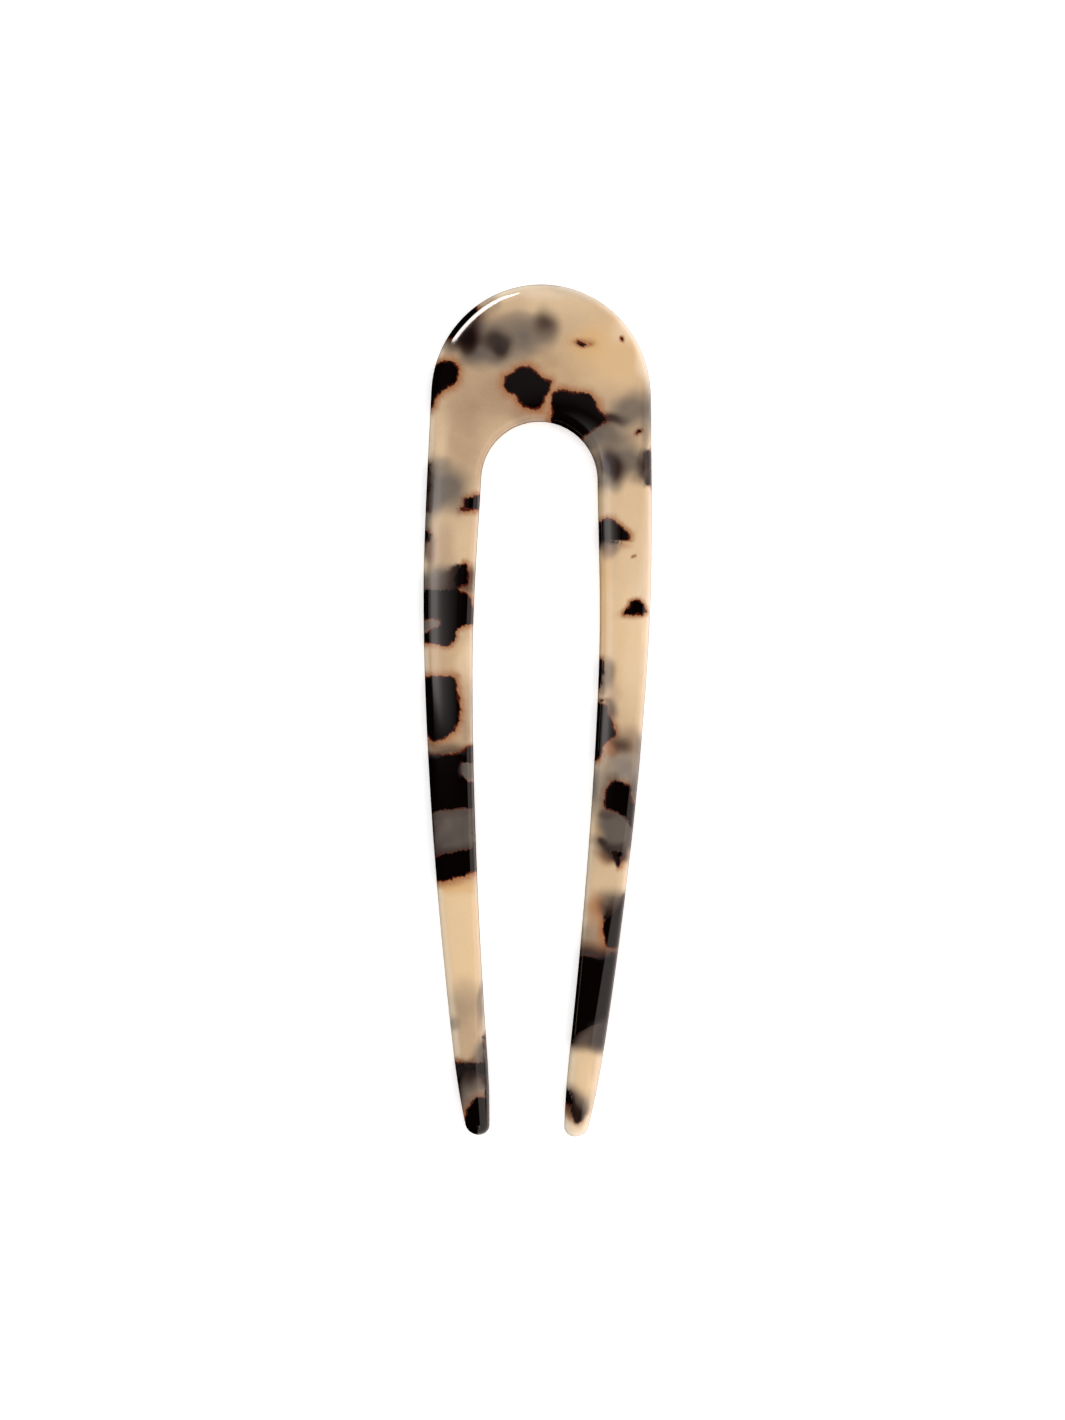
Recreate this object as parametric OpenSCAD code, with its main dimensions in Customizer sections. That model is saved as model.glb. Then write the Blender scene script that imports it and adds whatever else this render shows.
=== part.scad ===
// French hair pin: a one-piece U of polished acetate sheet.
// It lies on its back with the front face up, its crown towards +Y and its prongs towards -Y.
// The origin is the centre of the pin's box, on the surface that the back lies on.

/* [Overall] */
// Length from the top of the crown to the ends of the prongs
pin_l = 108; // [95:1:125]
// Widest width across both prongs
pin_w = 28.9; // [26:0.1:34]
// Thickness of the sheet that the pin is cut from
pin_t = 4; // [3:0.1:6]

/* [Crown] */
// Depth of the crown from its top to the top of the gap
crown_d = 17.4; // [14:0.2:21]
// How far the round of the crown stays inside the widest width, on each side
crown_inset = 0.75; // [0:0.05:1.5]
// How far down from the top the pin is widest
shoulder_l = 37; // [28:0.5:44]

/* [Gap] */
// Width of a prong where the pin is widest
prong_w = 6.4; // [5:0.1:7.5]
// How far the arch of the gap stays inside the widest gap, on each side
arch_inset = 0.8; // [0:0.05:1.5]
// How far down from the top the gap is widest
belly_l = 45; // [38:0.5:55]

/* [Prong ends] */
// How late the prongs taper and lean in, where 1 is a straight taper
taper_bend = 1.65; // [1.2:0.05:2.4]
// Width across both prongs at their ends, before their points draw in
tips_w = 16; // [13:0.2:20]
// Width of one prong at its end, before its point draws in
tip_w = 3.75; // [3.2:0.05:4.5]
// Length over which a prong draws in to its point
point_l = 10; // [5:0.5:20]
// How far each edge draws in along the point
point_inset = 0.5; // [0.1:0.05:0.8]
// Length of the rounded end of a prong
tip_round = 1.4; // [1.2:0.1:2.5]

/* [Polished edge] */
// Width of the rounded edge round the crown and down the prongs
edge_round = 1.2; // [0.6:0.1:2]
// How far down from the top the rounded edge starts to widen
edge_grow_l = 62; // [40:1:85]
// Width that the rounded edge grows to at the prong ends, where the prong leaves room for it
tip_edge_round = 2.2; // [1:0.1:2.6]

/* [Hidden] */

// Steps of the outline in a quarter of the crown, down a prong, and in half of a prong's end
crown_steps = 18;
prong_steps = 26;
tip_steps = 6;
// Steps of the rounded edge from the back to the front
edge_steps = 10;
// Most of a prong's width that one rounded edge may take
edge_share = 0.47;

half_w = pin_w / 2;
crown_r = half_w - crown_inset;
gap_half = half_w - prong_w;
arch_r = gap_half - arch_inset;
tip_outer = tips_w / 2;
tip_inner = tip_outer - tip_w;
tip_half = tip_w / 2 - point_inset;
tip_start = pin_l - tip_round;
side_steps = crown_steps + prong_steps;

// Smooth rise from 0 to 1, level at both ends
function ease(u) = let (k = max(0, min(1, u))) k * k * (3 - 2 * k);

// Part of the way from a start down to the ends, raised to a power so that it sets in late
function late(down, start, bend) = pow(max(0, down - start) / (pin_l - start), bend);

// How far the outer and the inner edge have come in towards the centre line
function outer_taper(down) = (half_w - tip_outer) * late(down, shoulder_l, taper_bend);
function inner_taper(down) = (gap_half - tip_inner) * late(down, belly_l, taper_bend);

// How far each edge has drawn in towards the middle of its prong
function point_draw(down) = point_inset * late(down, pin_l - point_l, 2);

// Reach of the outer edge from the centre line, given the reach of the crown's round there
function outer_reach(down, round_reach = crown_r) =
    round_reach + crown_inset * ease(down / shoulder_l) - outer_taper(down) - point_draw(down);

// Reach of the inner edge from the centre line, given the reach of the arch's round there
function inner_reach(down, round_reach = arch_r) =
    round_reach + arch_inset * ease((down - crown_d) / (belly_l - crown_d))
    - inner_taper(down) + point_draw(down);

// A point of the outline: its reach to the right, and how far down from the top it lies
function outer_point(step) =
    let (
        turn = 90 * min(1, step / crown_steps),
        along = max(0, step - crown_steps) / prong_steps,
        down = crown_r * (1 - cos(turn)) + (tip_start - crown_r) * along
    )
    [outer_reach(down, crown_r * sin(turn)), down];

function inner_point(step) =
    let (
        turn = 90 * min(1, step / crown_steps),
        along = max(0, step - crown_steps) / prong_steps,
        spring = crown_d + arch_r,
        down = spring - arch_r * cos(turn) + (tip_start - spring) * along
    )
    [inner_reach(down, arch_r * sin(turn)), down];

// The rounded end of a prong: half an oval that leans inwards as the prong does
function tip_point(step) =
    let (
        turn = 90 * step / tip_steps,
        reach_o = outer_reach(tip_start),
        reach_i = inner_reach(tip_start),
        lean_o = outer_reach(tip_start - tip_round) - reach_o,
        lean_i = inner_reach(tip_start - tip_round) - reach_i
    )
    [
        (reach_o + reach_i) / 2 + (reach_o - reach_i) / 2 * cos(turn) - (lean_o + lean_i) / 2 * sin(turn),
        tip_start + tip_round * sin(turn)
    ];

// Outline of the right half, clockwise from the top of the crown to the top of the gap
right_half = [
    for (i = [0 : side_steps]) outer_point(i),
    for (i = [1 : 2 * tip_steps - 1]) tip_point(i),
    for (i = [side_steps : -1 : 0]) inner_point(i)
];
last = len(right_half) - 1;

// Outline of the whole pin, with the left half mirrored from the right
outline = [
    for (p = right_half) [p.x, pin_l / 2 - p.y],
    for (i = [last - 1 : -1 : 1]) [-right_half[i].x, pin_l / 2 - right_half[i].y]
];
count = len(outline);

// Direction out of the pin at a point of the outline
function outward(i) =
    let (
        along = outline[(i + 1) % count] - outline[(i + count - 1) % count],
        size = norm(along)
    )
    [-along.y, along.x] / size;

// Width of the rounded edge at a height on the pin, limited by the prong that it runs along
function edge_at(y) =
    let (
        down = min(pin_l / 2 - y, tip_start),
        wanted = edge_round + (tip_edge_round - edge_round) * late(down, edge_grow_l, 1),
        prong = prong_w - outer_taper(down) + inner_taper(down) - 2 * point_draw(down)
    )
    min(wanted, edge_share * prong * pow(min(1, tip_round / tip_half), 2));

// One ring round the pin: the outline drawn in and raised along the rounded edge
function ring(step) =
    let (turn = 180 * step / edge_steps - 90)
    [
        for (i = [0 : count - 1])
            let (p = outline[i] - outward(i) * edge_at(outline[i].y) * (1 - cos(turn)))
            [p.x, p.y, pin_t / 2 * (1 + sin(turn))]
    ];

// Two triangles for four corners in order
function halves(a, b, c, d) = [[a, b, c], [a, c, d]];

// Faces of the rounded edge, between each ring and the next
function edge_faces() = [
    for (k = [0 : edge_steps - 1], i = [0 : count - 1])
        let (j = (i + 1) % count, low = k * count, high = low + count)
        each halves(low + i, low + j, high + j, high + i)
];

// Faces of a flat side: strips across the crown and the prongs from outer to inner edge
function flat_faces(first, front) = [
    for (i = [0 : last / 2 - 1])
        let (
            right = halves(i, i + 1, last - i - 1, last - i),
            left = halves(last + i, last + i + 1, count - i - 1, (count - i) % count)
        )
        for (t = concat(right, left))
            if (len([for (n = [0 : 2]) if (t[n] == t[(n + 1) % 3]) n]) == 0)
                [for (n = front ? [0, 1, 2] : [2, 1, 0]) first + t[n]]
];

module hair_pin() {
    color([0.84, 0.68, 0.49])
        polyhedron(
            points = [for (k = [0 : edge_steps]) each ring(k)],
            faces = concat(
                flat_faces(0, false),
                edge_faces(),
                flat_faces(edge_steps * count, true)
            )
        );
}

hair_pin();
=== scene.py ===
"""A French hair pin in polished blonde tortoise acetate, lying on a white table under studio light.

The pin is one closed surface, worked out with numpy on a grid: stations that run from the left tip
over the crown to the right tip, and a loop round the section at each station. The tortoise pattern is a
chart of chips and clouds that lie at their own depths in the sheet. It is turned into a few measures at
each point of the surface, and the material turns those into colour.

Lengths are in millimetres until a mesh is made, and in metres from there on. On the pin, x is across to
the right, down is along the pin from the top of its crown, and z is the height above its back.
"""

import logging
import math
from dataclasses import dataclass
from enum import Enum

import bmesh
import bpy
import numpy as np
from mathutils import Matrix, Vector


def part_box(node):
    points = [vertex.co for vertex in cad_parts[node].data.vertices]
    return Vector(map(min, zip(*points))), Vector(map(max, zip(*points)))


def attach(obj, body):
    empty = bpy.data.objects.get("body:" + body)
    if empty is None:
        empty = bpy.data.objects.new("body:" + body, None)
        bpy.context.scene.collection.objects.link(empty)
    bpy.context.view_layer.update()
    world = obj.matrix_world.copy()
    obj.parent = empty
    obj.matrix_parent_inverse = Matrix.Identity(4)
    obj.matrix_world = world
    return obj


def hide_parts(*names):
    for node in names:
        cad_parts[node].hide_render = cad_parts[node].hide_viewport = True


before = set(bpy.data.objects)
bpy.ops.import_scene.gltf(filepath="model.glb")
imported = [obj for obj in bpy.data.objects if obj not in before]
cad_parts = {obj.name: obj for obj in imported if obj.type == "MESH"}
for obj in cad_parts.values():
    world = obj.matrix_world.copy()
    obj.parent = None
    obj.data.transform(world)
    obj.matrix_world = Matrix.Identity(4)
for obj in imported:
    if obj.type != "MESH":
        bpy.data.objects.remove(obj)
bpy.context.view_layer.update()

Array = np.ndarray
Colour = tuple[float, float, float]
Socket = bpy.types.NodeSocket

MM = 0.001
NODE = "hair_pin"
# A depth past the back face, for a chip that goes right through the sheet.
WHOLE = 4.5

logging.basicConfig(level=logging.INFO, format="%(message)s")
LOG = logging.getLogger("hair_pin")


class Tint(Enum):
    """What a soft patch does to the acetate where it lies."""

    LIGHT = "tone up"
    DULL = "tone down"
    HONEY = "honey"
    CREAM = "cream"
    AMBER = "amber"
    BROWN = "brown"
    CLOUD = "cloud"
    CORE = "core"
    DUSK = "dusk"


@dataclass(frozen=True)
class Sink:
    """A line past which a chip's top goes down into the sheet: where it is, which way, how steeply.

    heading is in degrees, from the right towards the prongs' ends.
    """

    x: float
    down: float
    heading: float
    slope: float


@dataclass(frozen=True)
class Chip:
    """A flake of black acetate: its outline seen from the front, and the depths that it spans.

    under and through are how deep below the front face its top and its bottom lie. bleed is how far
    its colour seeps out round it, as a share of the usual.
    """

    name: str
    corners: tuple[tuple[float, float], ...]
    under: float = 0.0
    through: float = 3.0
    sink: Sink | None = None
    bleed: float = 1.0


@dataclass(frozen=True)
class Patch:
    """A soft oval of a tint: its middle, half sizes and strength, and how it turns and blurs out.

    soft is how far it blurs to each side of its rim, as a share of its size. turn is in degrees. square
    is 2 for an oval and more for squarer corners. height is where it lies in the sheet, above the back.
    """

    x: float
    down: float
    across: float
    along: float
    strength: float
    soft: float = 0.6
    turn: float = 0.0
    square: float = 2.0
    height: float = 2.8


def patches(*rows: tuple[float, ...]) -> tuple[Patch, ...]:
    """The patches of a tint, one from each row of a patch's numbers."""
    return tuple(Patch(*row) for row in rows)


# Chips that reach the front face, or lie just under it. An outline that leaves the pin wraps its edge.
CHIPS = (
    Chip("left_shoulder", ((-15.5, 10.6), (-13.5, 10.5), (-12.6, 10.15), (-11.6, 10), (-10.85, 10.3),
        (-10.5, 10.9), (-10.5, 12.1), (-10.9, 13), (-11.9, 13.5), (-12.65, 14.1), (-13.2, 14.6),
        (-13.5, 15.5), (-13.85, 16.2), (-15.5, 16.3)), bleed=1.4),
    Chip("crown_edge_band", ((-8.8, 2.55), (-8.25, 3.3), (-7.8, 4.1), (-9, 5.15), (-10.05, 6.3),
        (-10.85, 7.4), (-12.9, 7.1), (-11.5, 4.2)), through=3.4),
    Chip("crown_middle", ((-2.5, 10.6), (-1.5, 10.55), (-0.85, 11), (-0.3, 11.65), (0.25, 12.1),
        (1.25, 12.35), (1.1, 13.5), (0.55, 14.35), (0.2, 15.45), (-0.3, 16.05), (-1.15, 15.9),
        (-2.2, 15.65), (-2.9, 14.95), (-3.3, 14.15), (-4.35, 13.85), (-4.7, 13), (-4.7, 12.05),
        (-3.75, 11.5), (-3.15, 10.9)), through=2.6, bleed=1.5),
    Chip("arch_right", ((1.3, 14.2), (1.6, 13.75), (2.6, 13.35), (4, 13.7), (6, 13.9), (6.5, 14.35),
        (7, 15.1), (7.6, 16.2), (8.85, 17.1), (7.65, 17.85), (6.7, 18.55), (5.7, 19.3), (4.5, 20.2),
        (1.2, 18.6), (1.35, 17.3), (1.4, 15.85)), through=WHOLE, bleed=1.4),
    Chip("crown_fleck", ((4.2, 7.2), (4.75, 7.05), (5.25, 7.4), (6.6, 7.6), (5.6, 7.85), (5.15, 8),
        (4.6, 7.85)), through=0.6, bleed=0.4),
    Chip("far_fleck", ((9.95, 6.7), (10.15, 6.45), (10.3, 6.95), (10.25, 7.2), (10, 7.15)), through=0.5,
        bleed=0.4),
    Chip("shoulder_fleck", ((11.85, 18.75), (12.1, 18.4), (12.75, 18.2), (13, 18.45), (12.6, 18.8),
        (12.05, 18.98)), through=0.6, bleed=0.4),
    Chip("right_edge_band", ((13.15, 20.9), (15, 20.8), (15, 25.5), (13.45, 25.35), (13, 24.4), (12.7, 23),
        (12.75, 21.7)), under=0.75, through=3.6),
    Chip("left_edge_band", ((-15, 23.1), (-13.8, 23.1), (-13.65, 26), (-13.75, 29.2), (-15, 29.4)),
        under=0.75, through=3.6),
    Chip("left_inner", ((-9.45, 27.4), (-8.85, 27.25), (-7.95, 27), (-7, 26.9), (-7, 28.5), (-8.25, 28.95),
        (-9.95, 29), (-9.55, 28.2)), through=2.2),
    Chip("left_edge_spot", ((-15, 31.4), (-14, 31.6), (-13.6, 32.2), (-13.7, 32.9), (-15, 33.3)),
        under=0.4),
    Chip("left_upper", ((-9.2, 35.6), (-8.85, 35.9), (-8.8, 36.5), (-8.55, 37.3), (-8.6, 37.9),
        (-8.85, 38.4), (-9.9, 38.8), (-9.7, 39.5), (-10.5, 40.6), (-15, 40.6), (-15, 37), (-13.6, 37),
        (-13, 36.8), (-11.8, 36.5), (-10.7, 36)), through=WHOLE, sink=Sink(-9.9, 38, 188, 0.5)),
    Chip("left_upper_low", ((-9.95, 38.8), (-9.7, 39.2), (-8.9, 39.35), (-8.3, 40.2), (-8.1, 41.1),
        (-7.4, 41.5), (-7.4, 43.2), (-8.2, 43.3), (-9.2, 43.55), (-9.8, 43.75), (-10.2, 44.4),
        (-10.3, 45.3), (-10.6, 45.8), (-11.3, 46.2), (-12.7, 45.9), (-15, 45.8), (-15, 44.4), (-13.9, 44.4),
        (-13.2, 44), (-12.3, 43.6), (-12.2, 42.9), (-13.2, 42.7), (-15, 43.2), (-15, 39), (-13, 38.95),
        (-11.5, 38.8)), through=WHOLE),
    Chip("left_middle", ((-15, 50), (-13.8, 50), (-10.7, 49.9), (-10.1, 50.05), (-10, 51.1), (-9.65, 52.4),
        (-9.45, 53.6), (-9.42, 54.5), (-9.6, 55.7), (-10.05, 56.7), (-10.9, 57.5), (-11.95, 58.1),
        (-12.85, 58.3), (-13.2, 58.1), (-13.6, 57.4), (-15, 56.8)), through=3.3, bleed=1.3),
    Chip("left_band", ((-15, 59.8), (-11.4, 59.8), (-9.9, 59.7), (-9.3, 59.35), (-8.75, 58.95),
        (-8.05, 58.6), (-6.8, 58.2), (-6.8, 60.9), (-9, 60.9), (-9.3, 61.4), (-9.1, 62), (-8.7, 62.7),
        (-8.2, 63.2), (-6.5, 63.3), (-6.4, 66.7), (-8.4, 66.7), (-10, 66.85), (-11.4, 67), (-12.5, 67.4),
        (-14, 67.6)), through=WHOLE, bleed=0.6),
    Chip("left_edge_strip", ((-7.7, 66.4), (-7.55, 69), (-7.5, 71.8), (-5.8, 71.8), (-5.8, 66.4)),
        under=0.25, through=4),
    Chip("left_lower_band", ((-14, 72.9), (-12.05, 72.65), (-11.1, 72.4), (-10, 72.05), (-8.9, 71.8),
        (-8.05, 71.7), (-7.3, 71.1), (-5.8, 70.4), (-5.8, 74.2), (-7.15, 74.6), (-8.4, 75.05),
        (-9.6, 75.45), (-11.1, 75.85), (-13.5, 76.2)), through=WHOLE, bleed=1.3),
    Chip("left_low_patch", ((-10.5, 98.8), (-6.9, 98.75), (-4.5, 98.4), (-4.5, 103.2), (-6.9, 103.1),
        (-7.4, 104), (-10, 104.3)), under=0.15, through=3.4, sink=Sink(-8, 99.6, 84, 0.55), bleed=1.4),
    Chip("left_low_edge", ((-5.7, 95.4), (-4.6, 95), (-4, 103.4), (-5.3, 103.3), (-5.5, 100)), under=0.7,
        through=3.6),
    Chip("left_tip", ((-7.85, 105.3), (-7.6, 104.5), (-7.05, 103.6), (-6.6, 103.05), (-5.5, 103),
        (-3.5, 102.9), (-3.5, 110), (-9.5, 110), (-8.4, 107.4), (-7.9, 106.2)), through=WHOLE),
    Chip("right_triangle", ((7, 29.9), (7.9, 30), (8.6, 29.5), (9.3, 29.6), (10.05, 30.25), (10.85, 30.9),
        (11.7, 31.65), (11.6, 32.25), (10.9, 32.5), (10.1, 32.65), (9.4, 33), (8.3, 33.5), (7, 33.9)),
        through=3, sink=Sink(9, 32.15, 100, 1.7)),
    Chip("scratch", ((11.6, 34.62), (11.85, 34.37), (12.3, 34.08), (12.4, 34.2), (12.05, 34.52),
        (11.7, 34.76)), through=0.2, bleed=0.2),
    Chip("half_moon", ((10.85, 41.8), (10.95, 41.5), (11.4, 40.95), (11.75, 40.15), (12.3, 39.8),
        (13, 39.8), (13.4, 40.2), (13.65, 40.8), (14, 41.4), (13.35, 41.7), (12.1, 41.8)), through=1,
        bleed=0.7),
    Chip("right_inner_sliver", ((7.2, 47.3), (8.3, 47.4), (8.65, 48), (8.7, 48.9), (8.5, 50), (8.3, 51.1),
        (7.2, 51.4)), under=0.3, through=3.3, sink=Sink(8.3, 48.8, 20, 0.5)),
    Chip("right_hook", ((8.05, 52.75), (8.4, 52.42), (9, 52.45), (9.5, 52.72), (9, 52.66), (8.5, 52.7),
        (8.2, 53)), through=0.2, bleed=0.4),
    Chip("right_tall", ((7, 52.9), (8.15, 52.9), (9, 53.2), (9.25, 54), (9.7, 55), (10.05, 55.9),
        (10.3, 56.5), (10.2, 57.1), (9.5, 57.65), (8.9, 58.1), (8.6, 59.2), (8.35, 60.1), (7, 60.4)),
        through=3.4),
    Chip("right_square", ((9.3, 63.5), (9.75, 62.9), (10.4, 62.65), (11.2, 62.9), (12.2, 63.25),
        (12.4, 63.7), (12.45, 64.6), (12.6, 65.5), (14, 65.8), (14, 69), (12.4, 68.9), (11.9, 67.75),
        (11.5, 67.4), (10.75, 66.95), (9.9, 66.6), (9.1, 66.5), (8.95, 65.9), (9.05, 64.2)), through=2.8),
    Chip("right_drop", ((9.9, 71.5), (10.6, 71.5), (11.4, 71.5), (11.65, 72), (11.3, 73), (11, 73.7),
        (10.6, 73.3), (10.2, 72.5)), under=0.1, through=1.8),
    Chip("right_sliver", ((9.6, 77.3), (9.2, 78.8), (9.15, 81.9), (9.6, 83.7), (9.9, 84), (10.9, 83.9),
        (13, 84), (13, 77), (10.6, 76.9)), through=3.8, sink=Sink(10, 80.5, 262, 0.45)),
    Chip("right_band", ((4.6, 84.9), (9.6, 84.8), (10.2, 84.4), (12.5, 84.3), (12.5, 96.3), (9.4, 96.4),
        (7.4, 96.5), (5.4, 96.3), (4.3, 96.2)), through=WHOLE, sink=Sink(6.3, 93.7, 57, 0.78), bleed=0.5),
    Chip("right_tip_mark", ((4.2, 101.9), (5.3, 102), (6.3, 102.75), (7.1, 103.5), (7.4, 104.2),
        (7.35, 104.9), (7, 105.7), (6.3, 106.3), (5.95, 105.9), (5.6, 104.9), (5.15, 103.8), (4.6, 103.9),
        (4.2, 103.6)), under=0.38, through=1.6, sink=Sink(6.1, 103.9, -35, 1.2)),
)

# Flakes that reach only the back face. From the front they are part of the grey clouds.
BACK_CHIPS = (
    Chip("back_crown", ((-6.6, 5.6), (-4.2, 5), (-1.4, 5.4), (-0.6, 6.9), (-1.9, 8.4), (-4.6, 8.7),
        (-6.9, 8.2)), under=2.9, through=WHOLE),
    Chip("back_shoulder", ((9.3, 14.9), (11.6, 14), (15, 14.2), (15, 18), (11.9, 18.3), (9.6, 17.2)),
        under=2.7, through=WHOLE),
    Chip("back_arch", ((6.4, 18.3), (9.4, 17.9), (10.6, 19.4), (9.2, 20.7), (6.9, 20.9)), under=2.9,
        through=WHOLE),
    Chip("back_left", ((-13.4, 24.6), (-11.6, 24.2), (-10.2, 25.1), (-10, 27), (-11.4, 28.4), (-13.2, 28)),
        under=2.7, through=WHOLE),
    Chip("back_right_prong", ((9.2, 59.8), (11.2, 59.2), (14, 59.6), (14, 62.6), (10.4, 62.9), (9.5, 61.9)),
        under=2.7, through=WHOLE),
    Chip("back_left_band", ((-14, 67.2), (-5.5, 66.6), (-5.5, 71.2), (-14, 72.4)), under=1.5, through=WHOLE),
    Chip("back_right_band", ((8.6, 66.8), (14, 67), (14, 71.4), (10.8, 71.6), (8.7, 70.2)), under=1.9,
        through=WHOLE),
)

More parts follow.
